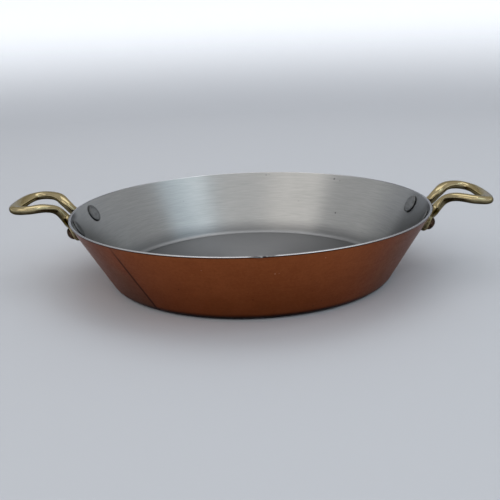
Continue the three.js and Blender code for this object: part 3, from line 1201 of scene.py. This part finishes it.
@dataclass(frozen=True)
class RivetForm:
    """The rivets: a flat head inside the pan, a shank through wall and ear, and a domed head outside."""

    pan: PanForm
    spacing: float = 37.0
    drop: float = 8.1
    shank_radius: float = 2.5
    inner_radius: float = 5.15
    inner_height: float = 0.8
    outer_radius: float = 3.6
    outer_height: float = 2.7
    inner_slope: float = 1.3
    inner_lip: float = 0.3
    shadow_reach: float = 2.0
    lee: float = 0.45
    # Shares of dirt and painted shade on the heads
    front_grime_and_shade: float = 0.12
    right_grime_and_shade: float = 0.2
    front_head_shade: float = 0.46
    crease_width: float = 0.35
    crease_share: float = 0.4
    ear_face: float = 2.9
    bed: float = 0.02

    @property
    def ring(self) -> float:
        """Radius at which the axes meet the outside of the wall."""
        return self.pan.rim_radius - self.drop * float(np.sin(self.pan.lean))

    @property
    def level(self) -> float:
        """Height at which the axes meet the outside of the wall."""
        return self.pan.height - self.drop * float(np.cos(self.pan.lean))

    @property
    def azimuth(self) -> float:
        """Angle of a rear rivet from the handle's middle."""
        return float(np.arcsin(self.spacing / 2 / self.ring))

    def azimuths(self) -> list[float]:
        """Angles of all four rivets."""
        return [np.pi * side.value + row.value * self.azimuth for side in Side for row in Row]

    def grime_and_shade(self, azimuth: float) -> float:
        """How much dirt and painted shade a head holds: all at the rear left, less at the rear right and
        least in front.
        """
        rear = self.right_grime_and_shade if np.cos(azimuth) > 0.0 else 1.0
        return rear if np.sin(azimuth) > 0.0 else self.front_grime_and_shade

    def front(self, ahead: Signal) -> Signal:
        """How much dirt and painted shadow lies round a head, from how far a point lies ahead of its
        middle, in metres.
        """
        return self.lee + ahead.step_mm((-self.shadow_reach, self.shadow_reach)) * (1.0 - self.lee)

    def seat(self, azimuth: float) -> tuple[Array, Array]:
        """Where an axis meets the outside of the wall, and the frame there.

        Args:
            azimuth: Angle about Z.

        Returns:
            The point, and rows of the directions round the pan, along the wall and out of it.
        """
        lean = self.pan.lean
        radial = np.array([np.cos(azimuth), np.sin(azimuth), 0.0])
        up = np.array([0.0, 0.0, 1.0])
        out = radial * np.cos(lean) - up * np.sin(lean)
        round_pan = np.array([-np.sin(azimuth), np.cos(azimuth), 0.0])
        return radial * self.ring + up * self.level, np.stack([round_pan, np.cross(out, round_pan), out])


@dataclass
class Rivet:
    """One rivet, with its heads bedded on the lining and on the ear."""

    form: RivetForm
    side: Side
    row: Row
    segments: int = 64
    face_rows: int = 8
    edge_rows: int = 9
    shank_rows: int = 4
    dome_rows: int = 14
    hammering: float = 0.07
    waves: int = 3
    wave_pitch: tuple[float, float] = (1.1, 1.3)
    seed: int = 7

    @property
    def name(self) -> str:
        """Name of the rivet's node."""
        return f"{self.side.name.lower()}_{self.row.name.lower()}_rivet"

    def profile(self) -> tuple[Array, Array]:
        """The section, as distance from the axis and distance out from the outside of the wall.

        The inner face is level and falls to its edge as a quarter ellipse, the shank is straight, and the
        outer head is a quarter ellipse too.

        Returns:
            Rows of radius and height, and for each row whether its height bends with the lining.
        """
        form = self.form
        bed = -(form.pan.wall + form.bed)
        face = bed - form.inner_height - self.hollow(np.array(form.inner_radius))
        seat = form.ear_face + form.bed
        radii = np.linspace(0.0, form.inner_radius - form.inner_slope, self.face_rows + 1)[1:-1]
        flat = np.stack([radii, np.full_like(radii, face)], axis=-1)
        turn = np.linspace(0.0, np.pi / 2, self.edge_rows)
        fall = form.inner_height - form.inner_lip
        edge_radii = form.inner_radius - form.inner_slope * (1.0 - np.sin(turn))
        edge = np.stack([edge_radii, face + fall * (1.0 - np.cos(turn))], axis=-1)
        under = np.array([[form.inner_radius, bed], [form.shank_radius, bed]])
        heights = np.linspace(bed, seat, self.shank_rows + 2)[1:]
        shank = np.stack([np.full_like(heights, form.shank_radius), heights], axis=-1)
        rise = np.linspace(0.0, np.pi / 2, self.dome_rows, endpoint=False)
        dome_heights = seat + form.outer_height * np.sin(rise)
        dome = np.stack([form.outer_radius * np.cos(rise), dome_heights], axis=-1)
        bends = np.zeros(len(flat) + len(edge) + len(under) + len(shank) + len(dome))
        bends[len(flat) + len(edge):len(flat) + len(edge) + len(under)] = 1.0
        return np.concatenate([flat, edge, under, shank, dome]), bends

    def hollow(self, across: Array) -> Array:
        """How far the inside of the wall comes in at a distance to the side of the axis."""
        curve = self.form.ring / np.cos(self.form.pan.lean)
        return curve - np.sqrt(curve**2 - across**2)

    def build(self, finish: bpy.types.Material) -> None:
        """Makes the rivet about its axis, beds it on the wall and dresses it.

        The hammered dome is raised by the mean of a few products of two sine waves across the axis.

        Args:
            finish: The rivets' shared material.
        """
        form = self.form
        profile, bends = self.profile()
        local = revolved(profile, self.segments)
        local[..., 2] -= bends[:, None] * self.hollow(local[..., 0])
        rng = np.random.default_rng(self.seed + 2 * self.side.value + (self.row is Row.REAR))
        phases = rng.uniform(0.0, 2 * np.pi, (self.waves, 2))
        across, along = (pitch * local[..., axis] for axis, pitch in enumerate(self.wave_pitch))
        ripple = sum(np.sin(across + first) * np.sin(along + second) for first, second in phases)
        above = np.abs(local[..., 2] - profile[:, 1].mean()) > form.pan.wall
        heads = above * (1.0 - bends[:, None]) * (local[..., 2] > 0.0)
        local[..., 2] += self.hammering * ripple / len(phases) * heads

        turned = np.pi * self.side.value
        middle = form.azimuth * self.row.value * (1 - 2 * self.side.value)
        point, axes = form.seat(turned + middle)
        inside = np.broadcast_to((profile[:, 1:] < 0.0).astype(float), local.shape[:2])
        slope_start = form.inner_radius - form.inner_slope
        points = point + local @ axes
        # Painted shade on the inner head, with dirt: on its sloping edge, most to the front, in a crease
        # where the slope starts, and more on the front heads
        ahead = smooth(point[1] - points[..., 1], -form.shadow_reach, form.shadow_reach)
        front = form.lee + (1.0 - form.lee) * ahead
        edge = smooth(profile[:, :1], slope_start, form.inner_radius) * front
        crease = np.exp(-(((profile[:, :1] - slope_start + form.crease_width) / form.crease_width) ** 2))
        held = form.grime_and_shade(turned + middle)
        front_head_shade = form.front_head_shade * (self.row is Row.FRONT)
        grime_and_shade_share = inside * np.clip((edge + form.crease_share * crease) * held + front_head_shade, 0.0, 1.0)
        piece = Skin.closed(points).put(f"pan_{self.name}", {"inside": inside, "grime_and_shade_share": grime_and_shade_share})
        dress(piece, finish, self.name, Slot.RIVET)


@dataclass(frozen=True)
class LoopForm:
    """A handle's loop. Widths are across the bar in plan and thicknesses in side view."""

    pan: PanForm
    rivet: RivetForm
    ear_radius: float = 5.3
    ear_depth: float = 3.3
    rim_standoff: float = 1.4
    foot: tuple[float, float] = (6.4, 4.9)
    neck: tuple[float, float] = (5.8, 4.8)
    arm: tuple[float, float] = (6.2, 4.5)
    bow: tuple[float, float] = (6.8, 4.3)
    foot_drop: float = 3.0
    neck_span: float = 18.4
    loop_span: float = 38.6
    neck_run: float = 3.2
    neck_rise: float = 2.0
    shoulder_run: float = 5.0
    shoulder_spread: float = 4.8
    arm_rise: float = 4.5
    reach: float = 29.8
    bow_rise: float = 3.1
    bend_setback: float = 3.2
    bend_inset: float = 2.2
    arm_setback: float = 9.8
    foot_upright: float = 0.6
    neck_upright: float = 0.9
    ear_squareness: float = 4.0
    bar_squareness: float = 2.3
    bow_squareness: float = 2.7

    def stations(self) -> tuple[Array, Array, Array]:
        """The bar's stations from the end of one ear round the bow to the end of the other.

        Returns:
            Places, the ways that the bar's top faces, and sections as width, thickness and squareness.
        """
        pan = self.pan
        point, axes = self.rivet.seat(self.rivet.azimuth)
        normal = axes[2]
        up = np.array([0.0, 0.0, 1.0])
        side = self.neck_span / 2
        seat = point + normal * (self.rivet.ear_face - self.ear_depth / 2)
        crossing = np.sqrt(pan.rim_radius**2 - side**2) + self.rim_standoff + self.foot[1] / 2
        foot = np.array([crossing - self.foot_drop * np.tan(pan.lean), side, pan.height - self.foot_drop])
        neck = np.array([crossing + self.neck_run, side, pan.height + self.neck_rise])
        arm_height = pan.height + self.arm_rise
        shoulder = np.array([neck[0] + self.shoulder_run, side + self.shoulder_spread, arm_height])
        tip = pan.rim_radius + self.reach
        arm = np.array([tip - self.arm_setback, self.loop_span / 2, arm_height])
        bend_height = pan.height + (self.arm_rise + self.bow_rise) / 2
        bend = np.array([tip - self.bend_setback, self.loop_span / 2 - self.bend_inset, bend_height])
        bow = np.array([tip, 0.0, pan.height + self.bow_rise])
        rise = foot - seat
        ear_end = seat - unit(rise - normal * (rise @ normal)) * self.ear_radius

        def leaning(share: float) -> Array:
            """Direction between the wall's inside and straight up."""
            return unit(-normal * (1 - share) + up * share)

        ear = (2 * self.ear_radius, self.ear_depth, self.ear_squareness)
        bent = tuple((first + second) / 2 for first, second in zip(self.arm, self.bow))
        square = self.bar_squareness
        places = np.stack([ear_end, seat, foot, neck, shoulder, arm, bend])
        rising = [leaning(share) for share in (self.foot_upright, self.neck_upright)]
        tops = np.stack([-normal, -normal, *rising, up, up, up])
        bars = [(*section, square) for section in (self.foot, self.neck, self.arm, self.arm, bent)]
        sections = np.array([ear, ear, *bars])
        flip = np.array([1.0, -1.0, 1.0])
        return (
            np.concatenate([places, bow[None], places[::-1] * flip]),
            np.concatenate([tops, up[None], tops[::-1] * flip]),
            np.concatenate([sections, [(*self.bow, self.bow_squareness)], sections[::-1]]),
        )


def curve_through(places: Array, spans: Array, shares: Array) -> tuple[Array, Array]:
    """A smooth curve through places, whose pace between two of them goes with the root of their distance.

    Each span is a cubic. Its end slopes come from the neighbouring places, weighted by those roots.

    Args:
        places: The places, one a row.
        spans: For each wanted point, the number of its span.
        shares: For each wanted point, how far along that span it lies.

    Returns:
        Points and unit tangents.
    """
    padded = np.concatenate([[2 * places[0] - places[1]], places, [2 * places[-1] - places[-2]]])
    p0, p1, p2, p3 = (padded[spans + offset] for offset in range(4))
    pairs = ((p0, p1), (p1, p2), (p2, p3))
    d0, d1, d2 = (np.linalg.norm(b - a, axis=1, keepdims=True) ** 0.5 for a, b in pairs)
    start = ((p1 - p0) / d0 - (p2 - p0) / (d0 + d1) + (p2 - p1) / d1) * d1
    end = ((p2 - p1) / d1 - (p3 - p1) / (d1 + d2) + (p3 - p2) / d2) * d1
    square = 3 * (p2 - p1) - 2 * start - end
    cube = 2 * (p1 - p2) + start + end
    t = shares[:, None]
    return p1 + t * (start + t * (square + t * cube)), unit(start + t * (2 * square + 3 * t * cube))


@dataclass
class LoopHandle:
    """One cast loop handle with its two ears on the wall."""

    form: LoopForm
    side: Side
    sides: int = 56
    span_rings: int = 22
    ear_rings: int = 26
    bed: float = 0.06
    spot_margin: float = 0.3
    spot_ease: float = 1.6
    cast_waver: float = 0.1
    waves: int = 5
    wave_pitch: float = 0.42
    seed: int = 31
    parting_height: float = 0.05
    parting_width: float = 0.1
    bent: tuple[float, float] = (-1.1, 1.2)
    # Shares of wear and painted light on the ears, by row and on their sides
    rub_and_light_ease: float = 12.0
    rear_rub_and_light: float = 0.7
    front_rub_and_light: tuple[float, float] = (0.75, 0.22)
    edge_rub_and_light: float = 0.3
    row_ease: float = 5.0

    @property
    def name(self) -> str:
        """Name of the handle's node."""
        return f"{self.side.name.lower()}_handle"

    @property
    def turn(self) -> float:
        """The sign that X and Y take when the handle is turned to its side."""
        return 1.0 - 2.0 * self.side.value

    def ring_places(self, last: int) -> tuple[Array, Array, Array]:
        """Where the rings lie along the bar: close together on the ears' round ends, and even between.

        Args:
            last: Number of the last span.

        Returns:
            Spans, shares of a span and shares of the width.
        """
        turn = np.linspace(0.0, np.pi / 2, self.ear_rings + 1)[1:-1]
        even = np.tile(np.arange(self.span_rings) / self.span_rings, last - 1)
        middle = np.repeat(np.arange(1, last), self.span_rings)
        first = np.zeros_like(turn, dtype=int)
        spans = np.concatenate([first, middle, [last], first + last])
        shares = np.concatenate([1 - np.cos(turn), even, [0.0], np.cos(turn[::-1])])
        widths = np.concatenate([np.sin(turn), np.ones_like(even), [1.0], np.sin(turn[::-1])])
        return spans, shares, widths

    def rub_and_light(self, centres: Array, thick: Array) -> Array:
        """How worn and painted lit the bar is: from 0 below, where painted shade lies, to 1 on top of the
        loop, and by a share of its own on an ear, which differs front to rear and is less on the ear's
        sides.

        Args:
            centres: The bar's middle at each ring.
            thick: Where points lie round a ring, from -1 at its underside to 1 at its top.

        Returns:
            The share at each point of each ring.
        """
        pan = self.form.pan
        on_bar = smooth(centres[:, :1], pan.rim_radius, pan.rim_radius + self.rub_and_light_ease)
        rear = smooth(centres[:, 1:2] * self.turn, -self.row_ease, self.row_ease)
        below = 1.0 - smooth(centres[:, 2:], pan.height - self.row_ease, pan.height)
        front_rub_and_light = self.front_rub_and_light[self.side.value]
        ears = front_rub_and_light + (self.rear_rub_and_light - front_rub_and_light) * np.maximum(rear, below)
        ears = ears * (self.edge_rub_and_light + (1.0 - self.edge_rub_and_light) * np.abs(thick))
        return (0.5 + 0.5 * thick) * on_bar + ears * (1.0 - on_bar)

    def bar(self) -> tuple[Array, dict[str, Array]]:
        """The bar as rings: rounded rectangles carried along the curve through the stations.

        A section's half width and half thickness are multiplied by the cosine and sine of the angle round
        it, each raised to 2 over the squareness. A low ridge runs where the mould's halves met, and the
        surface wavers. The loop bends up or down with the square of the distance from the rim.

        Returns:
            Points as rings and places round a ring, and their values: how worn and painted lit they are and
            how far along the bar they lie.
        """
        places, tops, sections = self.form.stations()
        spans, shares, widths = self.ring_places(len(places) - 2)
        centres, tangents = curve_through(places, spans, shares)
        ease = smooth(shares, 0.0, 1.0)[:, None]
        top = unit(tops[spans] * (1 - ease) + tops[spans + 1] * ease)
        section = sections[spans] * (1 - ease) + sections[spans + 1] * ease
        across = unit(np.cross(tangents, top))
        through = unit(np.cross(across, tangents))

        angle = np.linspace(0.0, 2 * np.pi, self.sides, endpoint=False)
        power = 2.0 / section[:, 2:]
        wide = np.sign(np.cos(angle)) * np.abs(np.cos(angle)) ** power
        thick = np.sign(np.sin(angle)) * np.abs(np.sin(angle)) ** power
        seam = np.exp(-((np.sin(angle) / self.parting_width) ** 2))
        ridge = self.parting_height * seam * np.sign(np.cos(angle))
        half_width = section[:, :1] / 2 * widths[:, None]
        aside = half_width * wide + ridge * widths[:, None]
        above = section[:, 1:2] / 2 * thick
        rings = centres[:, None] + across[:, None] * aside[..., None] + through[:, None] * above[..., None]
        rings = rings + self.waver(rings) * unit(rings - centres[:, None] + TINY)
        rubbed_and_lit = self.rub_and_light(centres, thick)
        steps = np.linalg.norm(np.diff(centres, axis=0, prepend=centres[:1]), axis=1)
        along = np.broadcast_to(np.cumsum(steps)[:, None], rubbed_and_lit.shape)
        outwards = np.clip((rings[..., 0] - self.form.pan.rim_radius) / self.form.reach, 0.0, None)
        rings[..., 2] += self.bent[self.side.value] * outwards**2
        return rings, {"rubbed_and_lit": rubbed_and_lit, "along": along}

    def waver(self, points: Array) -> Array:
        """How far a hand-finished casting stands out at points: the mean of a few long sine waves in space.

        Args:
            points: Points of the bar.

        Returns:
            The distance at each point, on a last axis of one.
        """
        rng = np.random.default_rng(self.seed + self.side.value)
        waves = rng.normal(0.0, self.wave_pitch, (self.waves, 3))
        phases = rng.uniform(0.0, 2 * np.pi, self.waves)
        total = np.sin(points @ waves.T + phases).sum(axis=-1, keepdims=True)
        return self.cast_waver / self.waves * total

    def seated(self, rings: Array) -> Array:
        """Beds the ears on the wall and faces them flat under the rivets' heads.

        A point nearer to the wall than the bed is moved straight out to it. A point near a rivet's axis,
        above the ear's face, is moved back to it, fully under the head and less and less beyond it.

        Args:
            rings: Points of the bar.

        Returns:
            The moved points.
        """
        pan = self.form.pan
        rivet = self.form.rivet
        radius = np.hypot(rings[..., 0], rings[..., 1])
        radial = np.stack([rings[..., 0] / radius, rings[..., 1] / radius, np.zeros_like(radius)], axis=-1)
        out = radial * np.cos(pan.lean) - np.array([0.0, 0.0, np.sin(pan.lean)])
        off = (radius - pan.base_radius - rings[..., 2] * np.tan(pan.lean)) * np.cos(pan.lean)
        short = np.clip(self.bed - off, 0.0, None) * (rings[..., 2] < pan.height)
        rings = rings + out * short[..., None]
        for azimuth in (-rivet.azimuth, rivet.azimuth):
            point, axes = rivet.seat(azimuth)
            local = (rings - point) @ axes.T
            far = np.hypot(local[..., 0], local[..., 1])
            reach = rivet.outer_radius + self.spot_margin
            under = 1 - smooth(far, reach, reach + self.spot_ease)
            proud = np.clip(local[..., 2] - rivet.ear_face, 0.0, None) * under
            rings = rings - axes[2] * proud[..., None]
        return rings

    def build(self, finish: bpy.types.Material) -> None:
        """Makes the handle at +X, turns it to its side and dresses it.

        Args:
            finish: The handles' shared material.
        """
        rings, values = self.bar()
        points = self.seated(rings) * [self.turn, self.turn, 1.0]
        piece = Skin.closed(points).put(f"pan_{self.name}", values)
        dress(piece, finish, self.name, Slot.BRASS)


@dataclass(frozen=True)
class StageFinish:
    """A pale matt floor that turns up into a paler wall."""

    floor: int = 0xBFC2C8
    wall: int = 0xE6E9EE
    glow: float = 0.44
    glow_rays: tuple[str, ...] = ("Is Camera Ray", "Is Glossy Ray", "Is Transmission Ray")
    turn_height: float = 0.16
    rough: float = 0.85
    specular: float = 0.2

    def build(self) -> bpy.types.Material:
        """Makes the material, whose tone follows the height and whose wall glows a little where it is seen.

        Returns:
            The material.
        """
        g = Graph("pale_stage")
        height = g.place().axes()[2]
        rise = height.step(0.0, self.turn_height)
        colour = g.mix(rise, tone(self.floor), tone(self.wall))
        seen = sum(g.node("ShaderNodeLightPath", {}, {}, output=ray) for ray in self.glow_rays)
        light = g.mix(rise * seen * self.glow, (0.0, 0.0, 0.0, 1.0), tone(self.wall))
        return g.surface({
            "Base Color": colour,
            "Roughness": self.rough,
            "Specular IOR Level": self.specular,
            "Emission Color": light,
            "Emission Strength": 1.0,
        })


@dataclass(frozen=True)
class Softbox:
    """A soft lamp that faces the pan: where it hangs, in degrees and metres, its size, light and colour."""

    name: str
    azimuth: float
    elevation: float
    distance: float
    size: tuple[float, float]
    radiance: float
    colour: tuple[float, float, float] = (1.0, 1.0, 1.0)

    def build(self) -> None:
        """Makes the lamp. Its power is its radiance times its area times pi."""
        lamp = bpy.data.lights.new(self.name, "AREA")
        lamp.shape = "RECTANGLE"
        lamp.size, lamp.size_y = self.size
        lamp.energy = self.radiance * self.size[0] * self.size[1] * float(np.pi)
        lamp.color = self.colour
        made = bpy.data.objects.new(self.name, lamp)
        turn, rise = np.radians([self.azimuth, self.elevation])
        towards = Vector((np.cos(turn) * np.cos(rise), np.sin(turn) * np.cos(rise), np.sin(rise)))
        made.location = towards * self.distance
        made.rotation_mode = "QUATERNION"
        made.rotation_quaternion = towards.to_track_quat("Z", "Y")
        bpy.context.scene.collection.objects.link(made)


@dataclass(frozen=True)
class PhotoCamera:
    """The camera at the photograph's viewing angle, found from the pan's rim, base and rivets.

    Lengths are in millimetres and angles in degrees. The focal length is in pixels of the square image.
    """

    image_width: float = 500.0
    focal_pixels: float = 750.0
    distance: float = 411.6
    height: float = 133.7
    yaw: float = -0.12
    pitch: float = 16.51
    roll: float = -2.12
    turn: float = 1.8
    sensor: float = 36.0
    clip: float = 10.0

    def build(self) -> None:
        """Makes the camera, looking along +Y and down, and turns it all about Z."""
        yaw, pitch, roll, turn = np.radians([self.yaw, self.pitch, self.roll, self.turn])
        forward = np.array([np.sin(yaw) * np.cos(pitch), np.cos(yaw) * np.cos(pitch), -np.sin(pitch)])
        level = np.array([np.cos(yaw), -np.sin(yaw), 0.0])
        upright = np.cross(level, forward)
        right = np.cos(roll) * level + np.sin(roll) * upright
        up = np.cos(roll) * upright - np.sin(roll) * level
        place = np.array([0.0, -self.distance, self.height]) * MM
        frame = np.eye(4)
        frame[:3, :4] = np.stack([right, up, -forward, place], axis=-1)
        lens = bpy.data.cameras.new("photo_camera")
        lens.sensor_width = self.sensor
        lens.lens = self.sensor * self.focal_pixels / self.image_width
        lens.clip_start = self.clip * MM
        camera = bpy.data.objects.new("photo_camera", lens)
        camera.matrix_world = Matrix.Rotation(turn, 4, "Z") @ Matrix(frame.tolist())
        bpy.context.scene.collection.objects.link(camera)
        bpy.context.scene.camera = camera


@dataclass
class Studio:
    """The floor with its wall, the lamps, the world and the camera. Lengths are in metres."""

    floor_radius: float = 0.8
    turn_radius: float = 0.3
    wall_height: float = 0.36
    turn_rows: int = 24
    segments: int = 192
    world_light: float = 0.64
    camera: PhotoCamera = field(default_factory=PhotoCamera)
    lamps: tuple[Softbox, ...] = (
        Softbox("left_softbox", -131.0, 43.0, 1.25, (0.9, 0.7), 1.08, (1.0, 0.945, 0.88)),
        Softbox("front_softbox", -80.0, 43.0, 1.25, (0.7, 0.7), 0.5),
        Softbox("right_softbox", -29.0, 43.0, 1.25, (0.77, 0.7), 1.1, (0.6, 0.84, 1.0)),
        Softbox("top_softbox", 80.0, 70.0, 1.4, (1.2, 0.9), 1.15),
        Softbox("key_lamp", -26.0, 62.0, 1.3, (0.13, 0.13), 7.0),
    )

    def backdrop(self) -> bpy.types.Object:
        """The floor: a disc that turns up through a quarter circle into a round wall.

        Returns:
            The new object, with its faces towards the pan.
        """
        angles = np.linspace(-np.pi / 2, 0.0, self.turn_rows)
        radii = self.floor_radius + self.turn_radius * np.cos(angles)
        turn = np.stack([radii, self.turn_radius * (1 + np.sin(angles))], axis=-1)
        top = [self.floor_radius + self.turn_radius, self.wall_height]
        rings = revolved(np.concatenate([turn, [top]]), self.segments)
        index, after = ring_numbers(len(rings), self.segments)
        quads = np.stack([index[:-1], index[1:], after[1:], after[:-1]], axis=-1).reshape(-1, 4)
        mesh = bpy.data.meshes.new("pale_stage")
        mesh.from_pydata(rings.reshape(-1, 3).tolist(), [], [*quads.tolist(), index[0].tolist()])
        mesh.polygons.foreach_set("use_smooth", np.ones(len(quads) + 1, dtype=bool))
        made = bpy.data.objects.new("pale_stage", mesh)
        bpy.context.scene.collection.objects.link(made)
        return made

    def build(self) -> None:
        """Makes the stage, the world's even light, the lamps and the camera."""
        stage = self.backdrop()
        stage.data.materials.append(StageFinish().build())
        world = bpy.data.worlds.new("even_light")
        world.use_nodes = True
        world.node_tree.nodes["Background"].inputs["Color"].default_value = (1.0, 1.0, 1.0, 1.0)
        world.node_tree.nodes["Background"].inputs["Strength"].default_value = self.world_light
        bpy.context.scene.world = world
        bpy.context.scene.view_settings.view_transform = "Standard"
        for lamp in self.lamps:
            lamp.build()
        self.camera.build()


def corners(box: tuple[Vector, Vector]) -> list[list[float]]:
    """A box's two corners as plain lists."""
    return [list(corner) for corner in box]


def main() -> None:
    """Loads the frame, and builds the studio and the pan's pieces in order."""
    logging.basicConfig(level=logging.INFO, format="%(name)s: %(message)s")
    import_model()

    Studio().build()
    pan = PanForm()
    rivets = RivetForm(pan)
    loop = LoopForm(pan, rivets)
    PanBody(pan, UseMarks(), rivets).build()
    brass = BrassFinish().build()
    rivet_metal = RivetFinish().build()
    for side in Side:
        LoopHandle(loop, side).build(brass)
        for row in Row:
            Rivet(rivets, side, row).build(rivet_metal)


if __name__ == "__main__":
    main()
